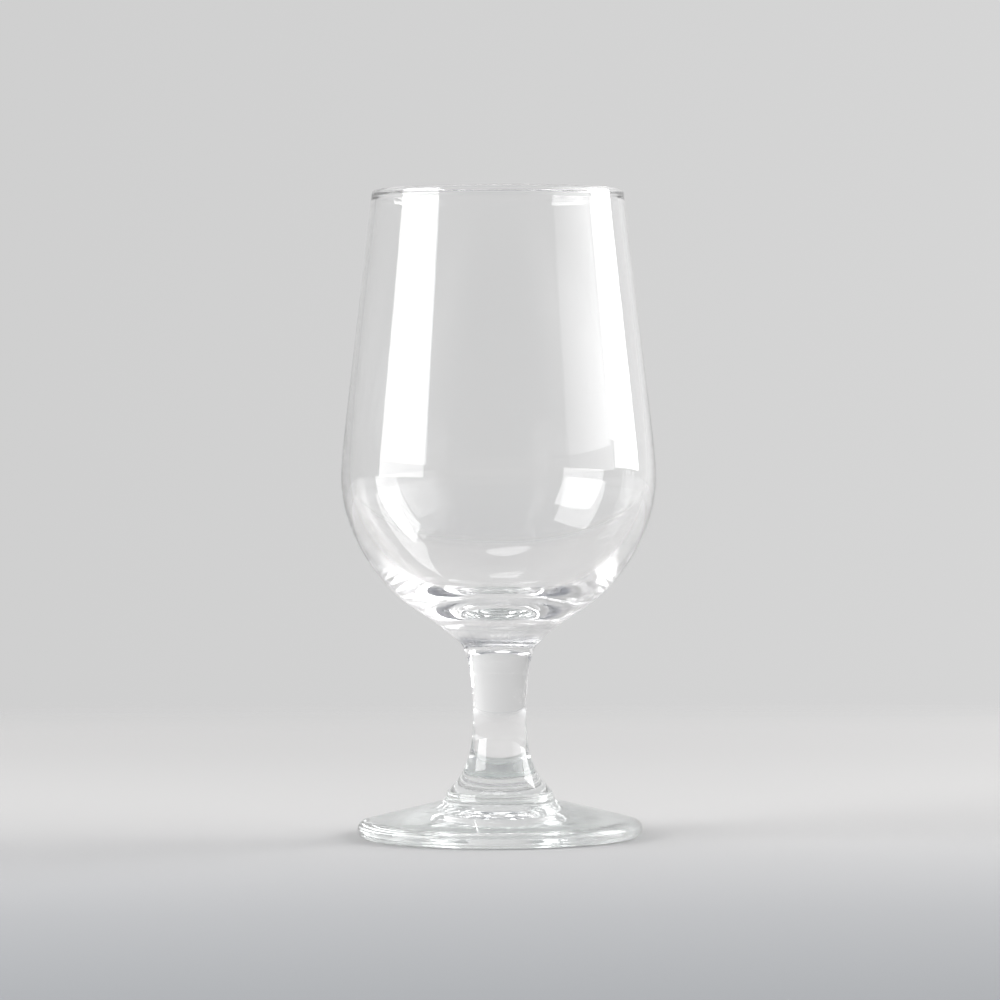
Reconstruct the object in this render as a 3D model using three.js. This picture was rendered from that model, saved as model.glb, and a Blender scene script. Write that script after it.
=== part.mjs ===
// Water goblet in clear glass: a blown bowl, a solid waisted stem and a pressed foot, joined by heat welds.
// Millimetres, +Z up. The origin is the middle of the circle on which the foot stands.

import * as THREE from 'three';

// Driving dimensions of the foot
const FOOT_DIAMETER = 68.4;
const FOOT_EDGE_THICKNESS = 3.8;
const FOOT_EDGE_ROUND = 1.8;
const FOOT_HEEL_ROUND = 1.5;
const RESTING_RING_WIDTH = 1.8;
const HOLLOW_DEPTH = 3.1;
const COLLAR_BASE_HEIGHT = 8.6;
const COLLAR_HEIGHT = 2.3;
const COLLAR_BASE_DIAMETER = 26.4;
const COLLAR_DRAFT = 0.45;

// Driving dimensions of the stem
const STEM_LENGTH = 34.1;
const STEM_WAIST_DIAMETER = 12.8;
const STEM_WAIST_RISE = 18.4;
const STEM_TOP_DIAMETER = 16.8;
const STEM_FLARE_ANGLE = 45;
const WELD_LEDGE = 0.3;

// Driving dimensions of the bowl
const BOWL_HEIGHT = 110;
const NECK_ANGLE = 20;
const UNDERSIDE_DIAMETER = 36.6;
const UNDERSIDE_RISE = 8.3;
const UNDERSIDE_ANGLE = 59.5;
const BELLY_DIAMETER = 75.6;
const BELLY_RISE = 41.3;
const RIM_DIAMETER = 60.4;
const WALL_TAPER = 6.6;
const WALL_AT_RIM = 1.3;
const WALL_AT_SHOULDER = 3.3;
const RIM_BEAD = 1.5;
const BEAD_TURN = 20;
const FLOOR_RISE = 10.6;

// The wall thickens with this power of the depth below the rim, down to the shoulder, where the floor's round begins.
// The two shares are places along the outer curves: the shoulder on the lower one, the bead's end on the upper one.
const WALL_GROWTH = 3.5;
const SHOULDER_PLACE = 0.503;
const BEAD_PLACE = 0.985;

// Fullness of each curve: the share of its chord over which it keeps the slope of its first and last point
const NECK_PULL = [0.15, 0.24];
const SHOULDER_PULL = [0.31, 0.36];
const WALL_PULL = [0.12, 0.74];
const BEAD_PULL = [0.3, 0.4];
const FLOOR_PULL = [0.45, 0.34];
const FLARE_PULL = [0.33, 0.55];
const SHAFT_PULL = [0.3, 0.2];
const HOLLOW_PULL = [0.75, 0.15];

// Share of a curve that is short enough to read its direction from
const NEARBY = 0.01;

// Facets round the axis, and steps along each kind of curve
const AROUND = 64;
const STEPS = { long: 10, short: 6, round: 4 };

// Heights of the two welds, which the pieces on both sides share
const FOOT_WELD = COLLAR_BASE_HEIGHT + COLLAR_HEIGHT;
const BOWL_WELD = FOOT_WELD + STEM_LENGTH;

const point = (radius, height) => new THREE.Vector2(radius, height);

// Direction of a profile line that leans outwards from the axis by an angle in degrees, seen going upwards
function lean(degrees) {
  const angle = THREE.MathUtils.degToRad(degrees);
  return point(Math.sin(angle), Math.cos(angle));
}

// A smooth curve from one point and direction to another
function curve(from, fromDirection, to, toDirection, pull) {
  const chord = from.distanceTo(to);
  const first = from.clone().addScaledVector(fromDirection, pull[0] * chord);
  const second = to.clone().addScaledVector(toDirection, -pull[1] * chord);
  return new THREE.CubicBezierCurve(from, first, second, to);
}

// A smooth stretch of profile along such a curve
function sweep(from, fromDirection, to, toDirection, pull, steps) {
  return curve(from, fromDirection, to, toDirection, pull).getPoints(steps);
}

// The inner face of a wall: points at its thickness inside an outer curve, from a high place to a low one
function insideOf(outer, high, low, wallAt, steps) {
  const points = [];
  for (let step = 0; step <= steps; step += 1) {
    const place = THREE.MathUtils.lerp(high, low, step / steps);
    const face = outer.getPoint(place);
    const along = outer.getTangent(place);
    points.push(face.clone().addScaledVector(point(-along.y, along.x), wallAt(face.y)));
  }
  return points;
}

// A round stretch of profile about a centre, between two angles in radians
function arc(centre, radius, fromAngle, toAngle, steps) {
  const clockwise = toAngle < fromAngle;
  return new THREE.EllipseCurve(centre.x, centre.y, radius, radius, fromAngle, toAngle, clockwise).getPoints(steps);
}

// One solid of revolution about Z from stretches of profile that run from the axis round to the axis
function revolve(name, stretches, material) {
  const profile = [];
  for (const next of stretches.flat()) {
    const last = profile.at(-1);
    if (!last || last.distanceTo(next) > 1e-6) profile.push(next);
  }
  const geometry = new THREE.LatheGeometry(profile, AROUND);
  geometry.rotateX(Math.PI / 2);
  const mesh = new THREE.Mesh(geometry, material);
  mesh.name = name;
  return mesh;
}

// Clear soda-lime glass, with the faint grey-green that its thick parts show
function clearGlass(colour) {
  return new THREE.MeshStandardMaterial({
    color: colour,
    roughness: 0.03,
    metalness: 0,
    transparent: true,
    opacity: 0.35,
  });
}

// The foot: hollowed underside, resting ring, rounded edge, coned top and the collar that takes the stem
function makeFoot() {
  const rim = FOOT_DIAMETER / 2;
  const ringOuter = rim - FOOT_HEEL_ROUND;
  const ringInner = ringOuter - RESTING_RING_WIDTH;
  const collarBase = point(COLLAR_BASE_DIAMETER / 2, COLLAR_BASE_HEIGHT);
  const collarTop = point(collarBase.x - COLLAR_DRAFT, FOOT_WELD);
  const hollowTop = point(0, HOLLOW_DEPTH);
  const ringEdge = point(ringInner, 0);

  // The cone of the top is the tangent from the collar's base to the circle that rounds the edge
  const edgeCentre = point(rim - FOOT_EDGE_ROUND, FOOT_EDGE_THICKNESS - FOOT_EDGE_ROUND);
  const toCollar = collarBase.clone().sub(edgeCentre);
  const tangentAngle = toCollar.angle() - Math.acos(FOOT_EDGE_ROUND / toCollar.length());

  return revolve('foot', [
    sweep(hollowTop, point(1, 0), ringEdge, ringEdge.clone().sub(hollowTop).normalize(), HOLLOW_PULL, STEPS.short),
    arc(point(ringOuter, FOOT_HEEL_ROUND), FOOT_HEEL_ROUND, -Math.PI / 2, 0, STEPS.round),
    arc(edgeCentre, FOOT_EDGE_ROUND, 0, tangentAngle, STEPS.round),
    [collarBase, collarTop, point(0, FOOT_WELD)],
  ], clearGlass('#dfe6e4'));
}

// The stem: flared where it meets the collar, waisted, and widening again under the bowl
function makeStem() {
  const base = point(COLLAR_BASE_DIAMETER / 2 - COLLAR_DRAFT - WELD_LEDGE, 0);
  const waist = point(STEM_WAIST_DIAMETER / 2, STEM_WAIST_RISE);
  const top = point(STEM_TOP_DIAMETER / 2, STEM_LENGTH);
  const stem = revolve('stem', [
    [point(0, 0)],
    sweep(base, lean(-STEM_FLARE_ANGLE), waist, lean(0), FLARE_PULL, STEPS.long),
    sweep(waist, lean(0), top, lean(NECK_ANGLE), SHAFT_PULL, STEPS.short),
    [point(0, STEM_LENGTH)],
  ], clearGlass('#e2e8e6'));
  stem.position.z = FOOT_WELD;
  return stem;
}

// The bowl: a solid neck that flares into the belly, a wall that leans in to the beaded rim, and the hollow inside
function makeBowl() {
  const neck = point(STEM_TOP_DIAMETER / 2, 0);
  const underside = point(UNDERSIDE_DIAMETER / 2, UNDERSIDE_RISE);
  const belly = point(BELLY_DIAMETER / 2, BELLY_RISE);
  const bead = RIM_BEAD / 2;
  const beadCentre = point(RIM_DIAMETER / 2 - bead, BOWL_HEIGHT - bead);
  const beadOuter = point(beadCentre.x + bead, beadCentre.y);
  const beadEnd = Math.PI + THREE.MathUtils.degToRad(BEAD_TURN);
  const beadRound = [
    ...arc(beadCentre, bead, 0, Math.PI / 2, STEPS.round),
    ...arc(beadCentre, bead, Math.PI / 2, beadEnd, STEPS.short),
  ];

  const lower = curve(underside, lean(UNDERSIDE_ANGLE), belly, lean(0), SHOULDER_PULL);
  const upper = curve(belly, lean(0), beadOuter, lean(-WALL_TAPER), WALL_PULL);
  const shoulderDepth = BOWL_HEIGHT - lower.getPoint(SHOULDER_PLACE).y;
  const wallAt = (height) => {
    const depth = (BOWL_HEIGHT - height) / shoulderDepth;
    return THREE.MathUtils.lerp(WALL_AT_RIM, WALL_AT_SHOULDER, depth ** WALL_GROWTH);
  };
  const inner = [
    ...insideOf(upper, BEAD_PLACE, 0, wallAt, STEPS.short),
    ...insideOf(lower, 1, SHOULDER_PLACE, wallAt, STEPS.short).slice(1),
  ];
  const wayDown = ([from, to]) => to.clone().sub(from).normalize();
  const intoWall = wayDown(insideOf(upper, BEAD_PLACE, BEAD_PLACE - NEARBY, wallAt, 1));
  const intoFloor = wayDown(insideOf(lower, SHOULDER_PLACE + NEARBY, SHOULDER_PLACE, wallAt, 1));

  const bowl = revolve('bowl', [
    [point(0, 0)],
    sweep(neck, lean(NECK_ANGLE), underside, lean(UNDERSIDE_ANGLE), NECK_PULL, STEPS.short),
    lower.getPoints(STEPS.long),
    upper.getPoints(STEPS.short),
    beadRound,
    sweep(beadRound.at(-1), lean(180 - BEAD_TURN), inner[0], intoWall, BEAD_PULL, STEPS.round),
    inner,
    sweep(inner.at(-1), intoFloor, point(0, FLOOR_RISE), point(-1, 0), FLOOR_PULL, STEPS.long),
  ], clearGlass('#e6ebea'));
  bowl.position.z = BOWL_WELD;
  return bowl;
}

const goblet = new THREE.Group();
goblet.add(makeBowl(), makeStem(), makeFoot());

export default goblet;
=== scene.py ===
# %% [markdown]
# A water goblet in clear glass
#
# The goblet is three pieces of the same glass: a blown bowl, a solid waisted stem and a pressed
# foot. Each is a solid of revolution, so each is drawn here as half of its outline and turned about
# the Z axis. What the eye sees of clear glass is almost all bent and mirrored surroundings. So the
# lesson spends as much care on the exact inner and outer outline, and on the table and the lamps,
# as on the glass itself.

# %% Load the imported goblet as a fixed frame
import math

import bpy
import numpy as np
from mathutils import Matrix, Vector


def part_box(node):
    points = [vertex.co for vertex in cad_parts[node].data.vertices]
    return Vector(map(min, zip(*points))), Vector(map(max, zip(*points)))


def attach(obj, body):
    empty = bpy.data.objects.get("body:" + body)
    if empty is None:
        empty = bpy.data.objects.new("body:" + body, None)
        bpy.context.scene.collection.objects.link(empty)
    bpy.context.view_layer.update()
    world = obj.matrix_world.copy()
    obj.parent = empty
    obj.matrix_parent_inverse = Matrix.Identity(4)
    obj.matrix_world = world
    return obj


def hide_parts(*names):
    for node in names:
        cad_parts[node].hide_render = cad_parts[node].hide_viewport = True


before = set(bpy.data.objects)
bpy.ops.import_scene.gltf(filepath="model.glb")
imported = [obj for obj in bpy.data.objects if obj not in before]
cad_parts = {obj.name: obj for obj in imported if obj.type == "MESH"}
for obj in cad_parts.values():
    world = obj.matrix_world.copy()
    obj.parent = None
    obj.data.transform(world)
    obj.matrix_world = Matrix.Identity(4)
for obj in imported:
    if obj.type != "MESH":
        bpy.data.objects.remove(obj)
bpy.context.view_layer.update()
MM = 0.001
print("nodes:", sorted(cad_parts))

# %% [markdown]
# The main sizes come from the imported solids, so the glass stays where the solids are. The stem's
# box gives the heights of the two heat welds, the bowl's box the rim and the belly, and the foot's
# box the foot. A box can't tell the neck, which stem and bowl share, so it is named here. The other
# sizes are named where their piece needs them. All are in millimetres and degrees.

# %% Sizes that the pieces share
foot_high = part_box("foot")[1] / MM
stem_low, stem_high = (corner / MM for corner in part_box("stem"))
bowl_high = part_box("bowl")[1] / MM

FOOT_WELD = stem_low.z
BOWL_WELD = stem_high.z
RIM_HEIGHT = bowl_high.z
FOOT_RADIUS = foot_high.x
STEM_BASE_RADIUS = stem_high.x
BELLY_RADIUS = bowl_high.x
NECK_RADIUS = 8.4
NECK_ANGLE = 20
print("welds at heights in mm:", round(FOOT_WELD, 1), round(BOWL_WELD, 1))

# %% [markdown]
# An outline is a list of points, radius and height. Three small helpers draw its stretches. A sweep
# is a cubic curve that leaves one point and reaches the next in given directions, as a glassmaker's
# mould is drawn; its two pulls say for how much of the way it keeps those directions. An arc rounds
# a corner, and a straight stretch joins two points. The points of a sweep are evenly spaced, because
# a change in the length of the facets shows as a line in glass.

# %% Helpers for outlines
CURVE_STEP = 0.6
CURVE_SAMPLES = 2000
SAME_POINT = 1e-4


def lean(degrees):
    """Direction of a line that goes up and leans out from the axis by an angle."""
    angle = math.radians(degrees)
    return Vector((math.sin(angle), math.cos(angle)))


def sweep(start, start_way, end, end_way, pull, spacing=CURVE_STEP):
    """Evenly spaced points of a smooth curve from start to end, both included."""
    start, end = Vector(start), Vector(end)
    chord = (end - start).length
    first = start + Vector(start_way) * pull[0] * chord
    second = end - Vector(end_way) * pull[1] * chord
    t = np.linspace(0, 1, CURVE_SAMPLES)
    s = 1 - t
    shares = (s**3, 3 * s * s * t, 3 * s * t * t, t**3)
    guides = (start, first, second, end)
    along = [sum(share * guide[k] for share, guide in zip(shares, guides)) for k in (0, 1)]
    walked = np.append(0, np.cumsum(np.hypot(*np.diff(along))))
    even = np.linspace(0, walked[-1], round(walked[-1] / spacing) + 1)
    return [Vector(point) for point in zip(*(np.interp(even, walked, line) for line in along))]


def arc(centre, radius, start_angle, end_angle, steps):
    """Points of a round stretch, with angles in radians from straight outwards."""
    points = []
    for step in range(steps + 1):
        angle = start_angle + (end_angle - start_angle) * step / steps
        across = centre[0] + radius * math.cos(angle)
        points.append(Vector((across, centre[1] + radius * math.sin(angle))))
    return points


def straight(start, end, spacing):
    """Points of a straight stretch with a spacing in millimetres."""
    start, end = Vector(start), Vector(end)
    steps = max(1, round((end - start).length / spacing))
    return [start.lerp(end, step / steps) for step in range(steps + 1)]


def outline(*stretches):
    """One list of points, from the axis round to the axis, without repeats."""
    points = []
    for point in (point for stretch in stretches for point in stretch):
        if not points or (point - points[-1]).length > SAME_POINT:
            points.append(point)
    return points


# %% [markdown]
# Each outline starts on the axis below and ends on the axis above, so that it closes when turned.
# The flat ends at the welds are drawn too: a turned piece is a closed solid, as the real one was
# before its weld.
#
# The bowl is blown into a mould, so its outside is the mould's curve and its inside is where the
# glass settled. The wall is thinnest at the rim, thickens with a power of the depth, and runs into
# the round of a thick floor. The slight wedge between its two faces is what shows every lamp twice.
# Fire polish leaves a bead at the rim.

# %% Outline of the bowl
UNDERSIDE_RADIUS = 18.3
UNDERSIDE_HEIGHT = 53.3
UNDERSIDE_ANGLE = 59.5
BELLY_HEIGHT = 86.3
RIM_RADIUS = 30.2
WALL_TAPER = 6.6
WALL_AT_RIM = 1.3
WALL_AT_SHOULDER = 3.3
WALL_GROWTH = 3.5
SHOULDER_HEIGHT = 67
RIM_BEAD = 1.6
BEAD_TURN = 60
BEAD_DROP = 2.0
FLOOR_HEIGHT = 55.6
NECK_PULL = (0.15, 0.24)
SHOULDER_PULL = (0.31, 0.36)
WALL_PULL = (0.089, 0.74)
BEAD_PULL = (0.3, 0.4)
FLOOR_PULL = (0.44, 0.32)
BEAD_STEPS = 24
BEAD_STEP = 0.1
WELD_STEP = 1.5


def wall_at(height):
    """Thickness of the blown wall, which grows with a power of the depth below the rim."""
    depth = (RIM_HEIGHT - height) / (RIM_HEIGHT - SHOULDER_HEIGHT)
    return WALL_AT_RIM + (WALL_AT_SHOULDER - WALL_AT_RIM) * depth**WALL_GROWTH


def bowl_outline():
    neck = (NECK_RADIUS, BOWL_WELD)
    underside = (UNDERSIDE_RADIUS, UNDERSIDE_HEIGHT)
    belly = (BELLY_RADIUS, BELLY_HEIGHT)
    bead = RIM_BEAD / 2
    bead_centre = (RIM_RADIUS - bead, RIM_HEIGHT - bead)
    bead_outer = (RIM_RADIUS, RIM_HEIGHT - bead)
    bead_turn = math.radians(BEAD_TURN)
    bead_way = (math.sin(bead_turn), -math.cos(bead_turn))
    bead_round = arc(bead_centre, bead, 0, math.pi + bead_turn, BEAD_STEPS)
    outer = sweep(underside, lean(UNDERSIDE_ANGLE), belly, lean(0), SHOULDER_PULL)
    outer += sweep(belly, lean(0), bead_outer, lean(-WALL_TAPER), WALL_PULL)[1:]
    inner = []
    for here in range(len(outer) - 2, 0, -1):
        height = outer[here].y
        if SHOULDER_HEIGHT <= height <= RIM_HEIGHT - BEAD_DROP:
            along = (outer[here + 1] - outer[here - 1]).normalized()
            inner.append(outer[here] + wall_at(height) * Vector((-along.y, along.x)))
    wall_way = (inner[1] - inner[0]).normalized()
    # The way of the wall at its last point is that of the parabola through its last three points.
    floor_way = (3 * inner[-1] - 4 * inner[-2] + inner[-3]).normalized()
    return outline(
        straight((0, BOWL_WELD), neck, WELD_STEP),
        sweep(neck, lean(NECK_ANGLE), underside, lean(UNDERSIDE_ANGLE), NECK_PULL),
        outer,
        bead_round,
        sweep(bead_round[-1], bead_way, inner[0], wall_way, BEAD_PULL, BEAD_STEP),
        inner,
        sweep(inner[-1], floor_way, (0, FLOOR_HEIGHT), (-1, 0), FLOOR_PULL),
    )


print("bowl outline points:", len(bowl_outline()))

# %% [markdown]
# The stem is a short solid rod, drawn out while hot: wide at the foot, waisted, and widening again
# to the bowl's neck. Both of its curves have the same bend at the waist, so that no line crosses
# the stem there.

# %% Outline of the stem
STEM_WAIST_RADIUS = 6.4
STEM_WAIST_HEIGHT = 29.3
STEM_FLARE_ANGLE = 45
FLARE_PULL = (0.33, 0.5)
SHAFT_PULL = (0.47, 0.2)


def stem_outline():
    base = (STEM_BASE_RADIUS, FOOT_WELD)
    waist = (STEM_WAIST_RADIUS, STEM_WAIST_HEIGHT)
    top = (NECK_RADIUS, BOWL_WELD)
    return outline(
        straight((0, FOOT_WELD), base, WELD_STEP),
        sweep(base, lean(-STEM_FLARE_ANGLE), waist, lean(0), FLARE_PULL),
        sweep(waist, lean(0), top, lean(NECK_ANGLE), SHAFT_PULL),
        straight(top, (0, BOWL_WELD), WELD_STEP),
    )


print("stem outline points:", len(stem_outline()))

# %% [markdown]
# The foot is pressed: a shallow cone with a low collar that takes the stem. Its underside is
# hollowed, so that it stands on a narrow ring. The cone is the tangent from the collar to the round
# of the edge. A small fillet eases the corner between cone and collar; it bends the light under the
# foot into the white ring there.

# %% Outline of the foot
FOOT_EDGE_THICKNESS = 3.8
FOOT_EDGE_ROUND = 1.8
FOOT_HEEL_ROUND = 1.5
RESTING_RING_WIDTH = 1.8
HOLLOW_DEPTH = 3.1
COLLAR_BASE_HEIGHT = 8.6
COLLAR_BASE_RADIUS = 13.2
COLLAR_DRAFT = 0.45
COLLAR_ROUND = 0.25
FILLET_REACH = 3.0
FILLET_RISE = 1.2
HOLLOW_PULL = (0.75, 0.15)
FILLET_PULL = (0.5, 0.5)
EDGE_STEPS = 20
HEEL_STEPS = 14
COLLAR_STEPS = 8
CONE_STEP = 0.5
FILLET_STEP = 0.2


def foot_outline():
    ring_outer = FOOT_RADIUS - FOOT_HEEL_ROUND
    hollow_top = Vector((0, HOLLOW_DEPTH))
    ring_edge = Vector((ring_outer - RESTING_RING_WIDTH, 0))
    hollow_way = (ring_edge - hollow_top).normalized()
    heel_centre = (ring_outer, FOOT_HEEL_ROUND)
    edge_centre = Vector((FOOT_RADIUS - FOOT_EDGE_ROUND, FOOT_EDGE_THICKNESS - FOOT_EDGE_ROUND))
    collar_base = Vector((COLLAR_BASE_RADIUS, COLLAR_BASE_HEIGHT))
    corner = (COLLAR_BASE_RADIUS - COLLAR_DRAFT - COLLAR_ROUND, FOOT_WELD - COLLAR_ROUND)
    to_collar = collar_base - edge_centre
    collar_angle = math.atan2(to_collar.y, to_collar.x)
    tangent = collar_angle - math.acos(FOOT_EDGE_ROUND / to_collar.length)
    edge_round = arc(edge_centre, FOOT_EDGE_ROUND, 0, tangent, EDGE_STEPS)
    cone_way = (collar_base - edge_round[-1]).normalized()
    collar_way = (Vector((corner[0] + COLLAR_ROUND, corner[1])) - collar_base).normalized()
    fillet_start = collar_base - FILLET_REACH * cone_way
    fillet_end = collar_base + FILLET_RISE * collar_way
    stem_edge = Vector((STEM_BASE_RADIUS, FOOT_WELD))
    return outline(
        sweep(hollow_top, (1, 0), ring_edge, hollow_way, HOLLOW_PULL),
        straight(ring_edge, (ring_outer, 0), CURVE_STEP),
        arc(heel_centre, FOOT_HEEL_ROUND, -math.pi / 2, 0, HEEL_STEPS),
        edge_round,
        straight(edge_round[-1], fillet_start, CONE_STEP),
        sweep(fillet_start, cone_way, fillet_end, collar_way, FILLET_PULL, FILLET_STEP),
        arc(corner, COLLAR_ROUND, 0, math.pi / 2, COLLAR_STEPS),
        straight(stem_edge, (0, FOOT_WELD), WELD_STEP),
    )


print("foot outline points:", len(foot_outline()))

# %% [markdown]
# Colours are written as sRGB hex values, the way they are read off a picture, and turned to the
# linear values that Blender's shaders work in. One small function adds a node, with its settings
# and its inputs, to any tree.

# %% Helpers for colours and nodes
def linear(hex_colour):
    """Linear red, green, blue and alpha of an sRGB hex colour."""
    channels = [int(hex_colour[i : i + 2], 16) / 255 for i in (1, 3, 5)]
    return [c / 12.92 if c <= 0.04045 else ((c + 0.055) / 1.055) ** 2.4 for c in channels] + [1.0]


def add(tree, kind, inputs=None, **settings):
    """Adds a node; an input is a value or another node's output socket."""
    node = tree.nodes.new(kind)
    for name, value in settings.items():
        setattr(node, name, value)
    for name, value in (inputs or {}).items():
        if isinstance(value, bpy.types.NodeSocket):
            tree.links.new(value, node.inputs[name])
        else:
            node.inputs[name].default_value = value
    return node


def new_material(name):
    """An empty node material and its output node."""
    material = bpy.data.materials.new(name)
    material.use_nodes = True
    material.node_tree.nodes.clear()
    return material, add(material.node_tree, "ShaderNodeOutputMaterial")


# %% [markdown]
# Clear soda-lime glass. Its refractive index is about 1.52, and a fire-polished surface is smooth,
# so mirrored edges stay sharp. But they are never ruler-straight: waves 16 mm long and a hundredth
# of a millimetre high, with fine upright streaks from drawing, bend them a little. A trace of haze
# keeps the deep parts from looking empty. The thick foot has a faint grey-green cast from iron,
# which the thin bowl doesn't show.

# %% Glass
CLEAR_TINT = "#FEFEFE"
THICK_TINT = "#FBFEFD"
GLASS_IOR = 1.52
CLEAR_SHARE = 0.993
WAVE_SIZE = 16 * MM
WAVE_HEIGHT = 0.01 * MM
STREAK_SIZE = 3 * MM
STREAK_STRETCH = 0.08
STREAK_SHARE = 0.12


def soda_lime_glass(name, tint):
    material, output = new_material(name)
    tree = material.node_tree
    place = add(tree, "ShaderNodeTexCoord").outputs["Object"]
    drawn = add(tree, "ShaderNodeMapping",
                {"Vector": place, "Scale": (1, 1, STREAK_STRETCH)}).outputs["Vector"]
    waves = add(tree, "ShaderNodeTexNoise",
                {"Vector": place, "Scale": 1 / WAVE_SIZE, "Detail": 1.0}).outputs["Fac"]
    streaks = add(tree, "ShaderNodeTexNoise",
                  {"Vector": drawn, "Scale": 1 / STREAK_SIZE, "Detail": 0.0}).outputs["Fac"]
    height = add(tree, "ShaderNodeMath", {0: streaks, 1: STREAK_SHARE, 2: waves},
                 operation="MULTIPLY_ADD").outputs[0]
    uneven = add(tree, "ShaderNodeBump",
                 {"Height": height, "Distance": WAVE_HEIGHT}).outputs["Normal"]
    shader = add(tree, "ShaderNodeBsdfPrincipled", {
        "Base Color": linear(tint),
        "Roughness": 0.0,
        "IOR": GLASS_IOR,
        "Transmission Weight": CLEAR_SHARE,
        "Normal": uneven,
    })
    tree.links.new(shader.outputs["BSDF"], output.inputs["Surface"])
    return material


def welded_face():
    """Inside a heat weld the glass runs on without a surface, so light passes straight through."""
    material, output = new_material("welded_face")
    shader = add(material.node_tree, "ShaderNodeBsdfTransparent", {"Color": (1, 1, 1, 1)})
    material.node_tree.links.new(shader.outputs["BSDF"], output.inputs["Surface"])
    return material


clear_glass = soda_lime_glass("soda_lime_glass", CLEAR_TINT)
thick_glass = soda_lime_glass("thick_soda_lime_glass", THICK_TINT)
weld = welded_face()
print("materials:", clear_glass.name, thick_glass.name, weld.name)

# %% [markdown]
# Turning the outlines. A lathe in Geometry Nodes: a flat grid has one row for each point of the
# outline and one column for each facet, and every grid point is set to its outline point, turned by
# its column's angle. Merging by distance then closes the seam and the two poles. The faces in the
# welds get their own material.

# %% The lathe tree
MERGE_DISTANCE = 0.001 * MM


def lathe_tree():
    tree = bpy.data.node_groups.new("lathe", "GeometryNodeTree")
    sockets = [
        ("Outline", "NodeSocketGeometry"),
        ("Glass", "NodeSocketMaterial"),
        ("Facets", "NodeSocketInt"),
        ("Lower weld height", "NodeSocketFloat"),
        ("Upper weld height", "NodeSocketFloat"),
        ("Weld radius", "NodeSocketFloat"),
    ]
    for name, kind in sockets:
        tree.interface.new_socket(name, in_out="INPUT", socket_type=kind)
    tree.interface.new_socket("Solid", in_out="OUTPUT", socket_type="NodeSocketGeometry")
    given = add(tree, "NodeGroupInput").outputs

    count = add(tree, "GeometryNodeAttributeDomainSize",
                {"Geometry": given["Outline"]}).outputs["Point Count"]
    columns = add(tree, "ShaderNodeMath", {0: given["Facets"], 1: 1.0}, operation="ADD").outputs[0]
    grid = add(tree, "GeometryNodeMeshGrid",
               {"Vertices X": columns, "Vertices Y": count}).outputs["Mesh"]
    index = add(tree, "GeometryNodeInputIndex").outputs["Index"]
    row = add(tree, "ShaderNodeMath", {0: index, 1: count}, operation="MODULO").outputs[0]
    share = add(tree, "ShaderNodeMath", {0: index, 1: count}, operation="DIVIDE").outputs[0]
    column = add(tree, "ShaderNodeMath", {0: share}, operation="FLOOR").outputs[0]
    turn = add(tree, "ShaderNodeMath", {0: column, 1: given["Facets"]},
               operation="DIVIDE").outputs[0]
    angle = add(tree, "ShaderNodeMath", {0: turn, 1: math.tau}, operation="MULTIPLY").outputs[0]
    place = add(tree, "GeometryNodeInputPosition").outputs["Position"]
    point = add(tree, "GeometryNodeSampleIndex",
                {"Geometry": given["Outline"], "Value": place, "Index": row},
                data_type="FLOAT_VECTOR", domain="POINT").outputs["Value"]
    turned = add(tree, "ShaderNodeVectorRotate", {"Vector": point, "Angle": angle},
                 rotation_type="Z_AXIS").outputs["Vector"]
    wrapped = add(tree, "GeometryNodeSetPosition",
                  {"Geometry": grid, "Position": turned}).outputs["Geometry"]
    closed = add(tree, "GeometryNodeMergeByDistance",
                 {"Geometry": wrapped, "Distance": MERGE_DISTANCE}).outputs["Geometry"]
    smooth = add(tree, "GeometryNodeSetShadeSmooth", {"Geometry": closed}).outputs["Geometry"]

    height = add(tree, "ShaderNodeSeparateXYZ", {"Vector": place}).outputs["Z"]
    flat = add(tree, "ShaderNodeVectorMath", {0: place, 1: (1, 1, 0)},
               operation="MULTIPLY").outputs["Vector"]
    radius = add(tree, "ShaderNodeVectorMath", {0: flat}, operation="LENGTH").outputs["Value"]
    low = add(tree, "ShaderNodeMath",
              {0: height, 1: given["Lower weld height"], 2: MERGE_DISTANCE},
              operation="COMPARE").outputs[0]
    high = add(tree, "ShaderNodeMath",
               {0: height, 1: given["Upper weld height"], 2: MERGE_DISTANCE},
               operation="COMPARE").outputs[0]
    inside = add(tree, "ShaderNodeMath", {0: radius, 1: given["Weld radius"]},
                 operation="LESS_THAN").outputs[0]
    either = add(tree, "ShaderNodeMath", {0: low, 1: high}, operation="MAXIMUM").outputs[0]
    welded = add(tree, "ShaderNodeMath", {0: either, 1: inside}, operation="MULTIPLY").outputs[0]
    real = add(tree, "GeometryNodeRealizeInstances", {"Geometry": smooth}).outputs["Geometry"]
    clear = add(tree, "GeometryNodeSetMaterial",
                {"Geometry": real, "Material": given["Glass"]}).outputs["Geometry"]
    done = add(tree, "GeometryNodeSetMaterial",
               {"Geometry": clear, "Selection": welded, "Material": weld}).outputs["Geometry"]
    add(tree, "NodeGroupOutput", {"Solid": done})
    return tree


lathe = lathe_tree()
input_id = {
    item.name: item.identifier for item in lathe.interface.items_tree if item.in_out == "INPUT"
}
print("lathe inputs:", list(input_id))

# %% [markdown]
# Each outline becomes a thin chain of edges, the lathe turns it, and the result is kept as a plain
# mesh. A corner sharper than a rounded one, such as the edge of a weld face, keeps a hard edge, so
# that the smooth shading of the side doesn't bend over it. The foot's weld face ends at the stem's
# radius; those of stem and bowl reach to their edges, so any radius that is large enough will do.

# %% Turn the three pieces
FACETS = 160
HARD_CORNER = math.radians(30)
NO_WELD = -1.0
ANY_RADIUS = 1.0
ML = 1e-6


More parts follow.
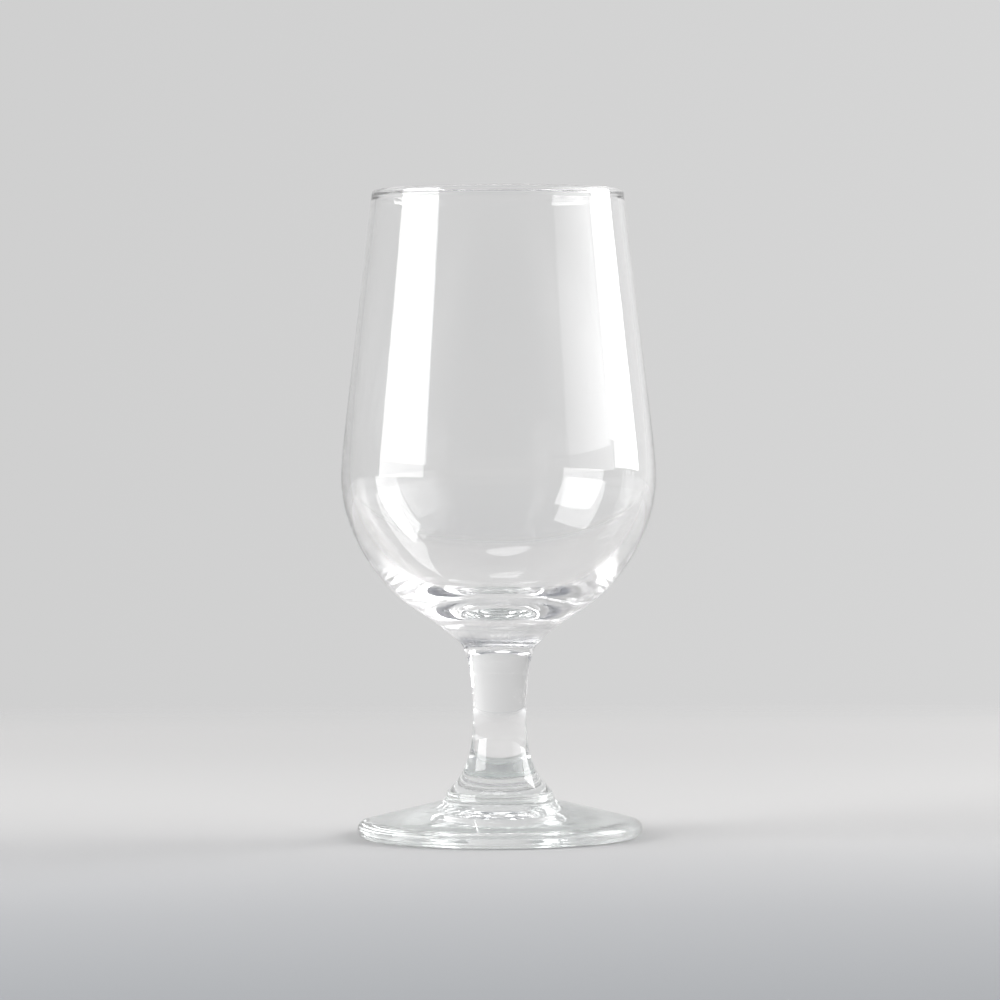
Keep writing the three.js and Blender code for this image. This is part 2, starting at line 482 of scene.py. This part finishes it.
def turned_piece(name, points, glass, lower_weld, upper_weld, weld_radius):
    chain = bpy.data.meshes.new(name + "_outline")
    places = [(point.x * MM, 0, point.y * MM) for point in points]
    chain.from_pydata(places, [(i, i + 1) for i in range(len(points) - 1)], [])
    holder = bpy.data.objects.new(name + "_outline", chain)
    bpy.context.scene.collection.objects.link(holder)
    modifier = holder.modifiers.new("lathe", "NODES")
    modifier.node_group = lathe
    modifier[input_id["Glass"]] = glass
    modifier[input_id["Facets"]] = FACETS
    modifier[input_id["Lower weld height"]] = lower_weld
    modifier[input_id["Upper weld height"]] = upper_weld
    modifier[input_id["Weld radius"]] = weld_radius
    evaluated = holder.evaluated_get(bpy.context.evaluated_depsgraph_get())
    mesh = bpy.data.meshes.new_from_object(evaluated)
    mesh.name = name
    mesh.set_sharp_from_angle(angle=HARD_CORNER)
    bpy.data.objects.remove(holder)
    piece = bpy.data.objects.new(name, mesh)
    bpy.context.scene.collection.objects.link(piece)
    volume = sum(face.center.dot(face.normal) * face.area / 3 for face in mesh.polygons)
    print(name, "faces:", len(mesh.polygons), "volume in ml:", round(volume / ML, 1))
    return piece


low, high = FOOT_WELD * MM, BOWL_WELD * MM
stem_radius = STEM_BASE_RADIUS * MM
foot_glass = turned_piece("foot_glass", foot_outline(), thick_glass, low, NO_WELD, stem_radius)
stem_glass = turned_piece("stem_glass", stem_outline(), clear_glass, low, high, ANY_RADIUS)
bowl_glass = turned_piece("bowl_glass", bowl_outline(), clear_glass, NO_WELD, high, ANY_RADIUS)

# %% [markdown]
# Every piece rides on the one body of the goblet and hides the solid that it stands for.

# %% Put the pieces on the frame
for piece, node in ((bowl_glass, "bowl"), (stem_glass, "stem"), (foot_glass, "foot")):
    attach(piece, "root")
    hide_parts(node)

# %% [markdown]
# The stage is a pale table top in front of a plain grey wall. Light is painted into the table's
# colour, on top of the lamps' real light: painted falloff makes it darker towards the camera, and
# painted lamp light makes it lighter at its sides, near the lamps. Painted light makes it lighter
# under the foot too, where glass gathers light that path tracing finds only in part. It fades out
# at its far edge, so that the line where it ends is soft. A hair of air keeps it from touching the
# foot's resting ring.

# %% Table
TABLE_REACH = 0.95
TABLE_SOFT = 0.5
TABLE_BACK = 0.50
BACK_SOFT = 0.34
AIR_GAP = 0.05 * MM
TABLE_NEAR, TABLE_FAR = -0.45, 0.5
# Painted falloff of light: the table's tone is painted darker towards the camera, as its light falls
# off.
PAINTED_FALLOFF_TONES = [
    (0.0, "#9DA0A3"),
    (0.3, "#B7B8BA"),
    (0.5, "#D4D3D2"),
    (0.67, "#D0CFCE"),
    (0.8, "#CECDCC"),
    (1.0, "#D8D7D6"),
]
# Tone of the painted light that lightens the table at its sides and under the foot.
PAINTED_LIGHT_TONE = "#F6F6F6"
# Painted lamp light: the table is painted lighter towards its sides, near the lamps.
SIDE_NEAR, SIDE_FAR = 0.2, 0.5
# Painted light under the foot, for the light that the glass gathers there.
GATHER_NEAR, GATHER_FAR = 33 * MM, 28 * MM


def tones(tree, value, start, end, steps, blend):
    """Colour that passes through a list of places and tones as a value goes from start to end."""
    share = add(tree, "ShaderNodeMapRange", {"Value": value, "From Min": start, "From Max": end})
    ramp = add(tree, "ShaderNodeValToRGB", {"Fac": share.outputs["Result"]})
    ramp.color_ramp.interpolation = blend
    while len(ramp.color_ramp.elements) < len(steps):
        ramp.color_ramp.elements.new(1.0)
    for element, (place, tone) in zip(ramp.color_ramp.elements, steps):
        element.position = place
        element.color = linear(tone)
    return ramp.outputs["Color"]


def matt_table():
    material, output = new_material("matt_table")
    tree = material.node_tree
    place = add(tree, "ShaderNodeTexCoord").outputs["Object"]
    across, depth, _ = add(tree, "ShaderNodeSeparateXYZ", {"Vector": place}).outputs
    reach = add(tree, "ShaderNodeVectorMath", {0: place}, operation="LENGTH").outputs["Value"]
    # Painted falloff: the tone darkens towards the camera.
    painted_falloff = tones(tree, depth, TABLE_NEAR, TABLE_FAR, PAINTED_FALLOFF_TONES, "B_SPLINE")
    # Painted lamp light towards the sides of the table.
    aside = add(tree, "ShaderNodeMath", {0: across}, operation="ABSOLUTE").outputs[0]
    side = add(tree, "ShaderNodeMapRange",
               {"Value": aside, "From Min": SIDE_NEAR, "From Max": SIDE_FAR},
               interpolation_type="SMOOTHSTEP").outputs["Result"]
    # Painted light under the foot, where the glass gathers light.
    painted_gathered_light = add(tree, "ShaderNodeMapRange",
                   {"Value": reach, "From Min": GATHER_NEAR, "From Max": GATHER_FAR},
                   interpolation_type="SMOOTHSTEP").outputs["Result"]
    # Painted light at the sides and under the foot, mixed into the table's tone.
    painted_light = add(tree, "ShaderNodeMath", {0: side, 1: painted_gathered_light}, operation="MAXIMUM").outputs[0]
    colour = add(tree, "ShaderNodeMix", {"Factor": painted_light, 6: painted_falloff, 7: linear(PAINTED_LIGHT_TONE)},
                 data_type="RGBA").outputs[2]
    diffuse = add(tree, "ShaderNodeBsdfDiffuse", {"Color": colour}).outputs["BSDF"]
    clear = add(tree, "ShaderNodeBsdfTransparent").outputs["BSDF"]
    round_edge = add(tree, "ShaderNodeMapRange",
                     {"Value": reach, "From Min": TABLE_SOFT, "From Max": TABLE_REACH},
                     interpolation_type="SMOOTHSTEP").outputs["Result"]
    back_edge = add(tree, "ShaderNodeMapRange",
                    {"Value": depth, "From Min": BACK_SOFT, "From Max": TABLE_BACK},
                    interpolation_type="SMOOTHSTEP").outputs["Result"]
    fade = add(tree, "ShaderNodeMath", {0: round_edge, 1: back_edge},
               operation="MAXIMUM").outputs[0]
    mixed = add(tree, "ShaderNodeMixShader", {0: fade, 1: diffuse, 2: clear}).outputs["Shader"]
    tree.links.new(mixed, output.inputs["Surface"])
    return material


table_mesh = bpy.data.meshes.new("table")
corners = [
    (-TABLE_REACH, -TABLE_REACH, -AIR_GAP),
    (TABLE_REACH, -TABLE_REACH, -AIR_GAP),
    (TABLE_REACH, TABLE_BACK, -AIR_GAP),
    (-TABLE_REACH, TABLE_BACK, -AIR_GAP),
]
table_mesh.from_pydata(corners, [], [(0, 1, 2, 3)])
table_mesh.materials.append(matt_table())
table = bpy.data.objects.new("table", table_mesh)
bpy.context.scene.collection.objects.link(table)
print("table in m:", 2 * TABLE_REACH, "by", TABLE_REACH + TABLE_BACK)

# %% [markdown]
# The wall and the room are the world's own colour, which the glass bends and mirrors. The wall gets
# lighter from left to right. The ceiling is dark above the camera and light above the wall: the
# thick bottom of the bowl shows the dark part as grey spots beside its rings, and the neck shows
# the light part.

# %% Wall and room
WALL_TONES = [
    (0.0, "#B4B4B4"),
    (0.2, "#C4C4C4"),
    (0.45, "#D0D0D0"),
    (0.55, "#D5D5D5"),
    (0.7, "#E2E2E2"),
    (0.86, "#F8F8F8"),
]
WALL_START, WALL_FULL = -0.3, 0.5
ROOM_GREY = "#D0D0D0"
CEILING_TONES = [(0.3, "#767A84"), (0.62, "#DADADA")]
CEILING_START, CEILING_FULL = 0.3, 0.8

world = bpy.data.worlds.new("studio")
world.use_nodes = True
world.node_tree.nodes.clear()
room = world.node_tree
direction = add(room, "ShaderNodeTexCoord").outputs["Generated"]
way = add(room, "ShaderNodeSeparateXYZ", {"Vector": direction}).outputs
wall = tones(room, way["X"], -1, 1, WALL_TONES, "LINEAR")
behind = add(room, "ShaderNodeMapRange",
             {"Value": way["Y"], "From Min": WALL_START, "From Max": WALL_FULL},
             interpolation_type="SMOOTHSTEP").outputs["Result"]
sides = add(room, "ShaderNodeMix", {"Factor": behind, 6: linear(ROOM_GREY), 7: wall},
            data_type="RGBA").outputs[2]
ceiling = tones(room, way["Y"], -1, 1, CEILING_TONES, "LINEAR")
above = add(room, "ShaderNodeMapRange",
            {"Value": way["Z"], "From Min": CEILING_START, "From Max": CEILING_FULL},
            interpolation_type="SMOOTHSTEP").outputs["Result"]
shade = add(room, "ShaderNodeMix", {"Factor": above, 6: sides, 7: ceiling},
            data_type="RGBA").outputs[2]
sky = add(room, "ShaderNodeBackground", {"Color": shade}).outputs["Background"]
add(room, "ShaderNodeOutputWorld", {"Surface": sky})
bpy.context.scene.world = world

# %% [markdown]
# Two tall soft boxes stand at the sides, the left one a little in front of the goblet and the right
# one a little behind it. The front of the bowl mirrors them as the two long strips, and the far
# inside wall mirrors them again, upside down and side for side, as the patches below the strips. A
# dimmer screen makes the glow beside the right strip, and a lamp overhead the small oval in the
# bottom.

# %% Helpers for lamps
def flat_lamp(name, shape, width, height, brightness):
    """A flat lamp at the origin that faces down; brightness 1 is that of a white wall."""
    light = bpy.data.lights.new(name, "AREA")
    light.shape = shape
    light.size = width
    light.size_y = height
    light.energy = brightness * math.pi * width * height
    lamp = bpy.data.objects.new(name, light)
    bpy.context.scene.collection.objects.link(lamp)
    lamp.visible_camera = False
    print(name, "in m:", round(width, 2), "by", round(height, 2))
    return lamp


def plan(azimuth, distance):
    """A place on the table; azimuth 0 is the camera's side and 90 the right."""
    turn = math.radians(azimuth)
    return Vector((math.sin(turn), -math.cos(turn), 0)) * distance


def soft_box(name, first_end, last_end, bottom, top, brightness, tilt=0, fade=None):
    """An upright lamp above the line between two places, which lights the goblet's side."""
    width = last_end - first_end
    lamp = flat_lamp(name, "RECTANGLE", width.length, top - bottom, brightness)
    if fade:
        lamp.data.use_nodes = True
        tree = lamp.data.node_tree
        tree.nodes.clear()
        place = add(tree, "ShaderNodeNewGeometry").outputs["Parametric"]
        across = add(tree, "ShaderNodeSeparateXYZ", {"Vector": place}).outputs["X"]
        level = add(tree, "ShaderNodeMapRange",
                    {"Value": across, "To Min": fade[0], "To Max": fade[1]}).outputs["Result"]
        glow = add(tree, "ShaderNodeEmission", {"Strength": level}).outputs["Emission"]
        add(tree, "ShaderNodeOutputLight", {"Surface": glow})
    lamp.location = (first_end + last_end) / 2 + Vector((0, 0, (bottom + top) / 2))
    away = width.cross((0, 0, 1))
    upright = away.to_track_quat("Z", "Y").to_matrix()
    facing = upright @ Matrix.Rotation(math.radians(tilt), 3, "Z")
    lamp.rotation_euler = facing.to_euler()


# %% [markdown]
# A lamp's place is read off its mirrored images. The ends of a strip give the azimuths of the two
# sides of its box, the lower end of the strip gives the box's bottom, and the small slant of the
# right strip gives the tilt. Lengths are in metres, angles in degrees.

# %% Soft boxes
BOX_BRIGHTNESS = 6.0
LEFT_ENDS = (plan(-95.9, 1.1), plan(-55.1, 0.86))
LEFT_BOTTOM, LEFT_TOP = 0.092, 0.7
RIGHT_ENDS = (plan(94.2, 0.93), plan(123.4, 0.93))
RIGHT_BOTTOM, RIGHT_TOP = 0.127, 0.86
RIGHT_TILT = -4.6
OVERHEAD_WIDTH, OVERHEAD_DEPTH = 0.6, 0.25
OVERHEAD_BRIGHTNESS = 2.8
OVERHEAD_PLACE = (-0.14, -0.05, 1.32)
SCREEN_ENDS = (plan(51.8, 1.01), plan(92.2, 1.01))
SCREEN_BOTTOM, SCREEN_TOP = 0.139, 0.85
SCREEN_BRIGHTNESS = 3.1
SCREEN_FADE = (0.2, 1.0)

soft_box("left_box", *LEFT_ENDS, LEFT_BOTTOM, LEFT_TOP, BOX_BRIGHTNESS)
soft_box("right_box", *RIGHT_ENDS, RIGHT_BOTTOM, RIGHT_TOP, BOX_BRIGHTNESS, tilt=RIGHT_TILT)
overhead = flat_lamp("overhead", "ELLIPSE", OVERHEAD_WIDTH, OVERHEAD_DEPTH, OVERHEAD_BRIGHTNESS)
overhead.location = OVERHEAD_PLACE
soft_box("right_screen", *SCREEN_ENDS, SCREEN_BOTTOM, SCREEN_TOP, SCREEN_BRIGHTNESS,
         fade=SCREEN_FADE)

# %% [markdown]
# The camera is about a metre away and 103 mm above the table. That is read off the photo: it shows
# the foot from above, but the rim from just below.

# %% Camera
CAMERA_DISTANCE = 1.07
CAMERA_HEIGHT = 0.103
AIM = Vector((0.0003, 0, 0.0807))
FRAME_WIDTH = 0.240
CAMERA_ROLL = math.radians(-0.2)
SENSOR_WIDTH = 36
FARTHEST_SEEN = 100

camera_data = bpy.data.cameras.new("camera")
camera = bpy.data.objects.new("camera", camera_data)
bpy.context.scene.collection.objects.link(camera)
camera.location = (0, -CAMERA_DISTANCE, CAMERA_HEIGHT)
line = AIM - camera.location
level_view = line.to_track_quat("-Z", "Y").to_matrix()
camera.rotation_euler = (level_view @ Matrix.Rotation(CAMERA_ROLL, 3, "Z")).to_euler()
camera_data.sensor_width = SENSOR_WIDTH
camera_data.lens = camera_data.sensor_width * line.length / FRAME_WIDTH
camera_data.clip_end = FARTHEST_SEEN
bpy.context.scene.camera = camera
print("lens in mm:", round(camera_data.lens))

# %% [markdown]
# In thick glass light meets many faces before it leaves, so a path may have many steps. Colours go
# straight to the picture, without a film curve.

# %% Light paths and colour
scene = bpy.context.scene
scene.view_settings.view_transform = "Standard"
scene.cycles.max_bounces = 64
scene.cycles.diffuse_bounces = 2
scene.cycles.transmission_bounces = 32
scene.cycles.glossy_bounces = 48
scene.cycles.transparent_max_bounces = 32
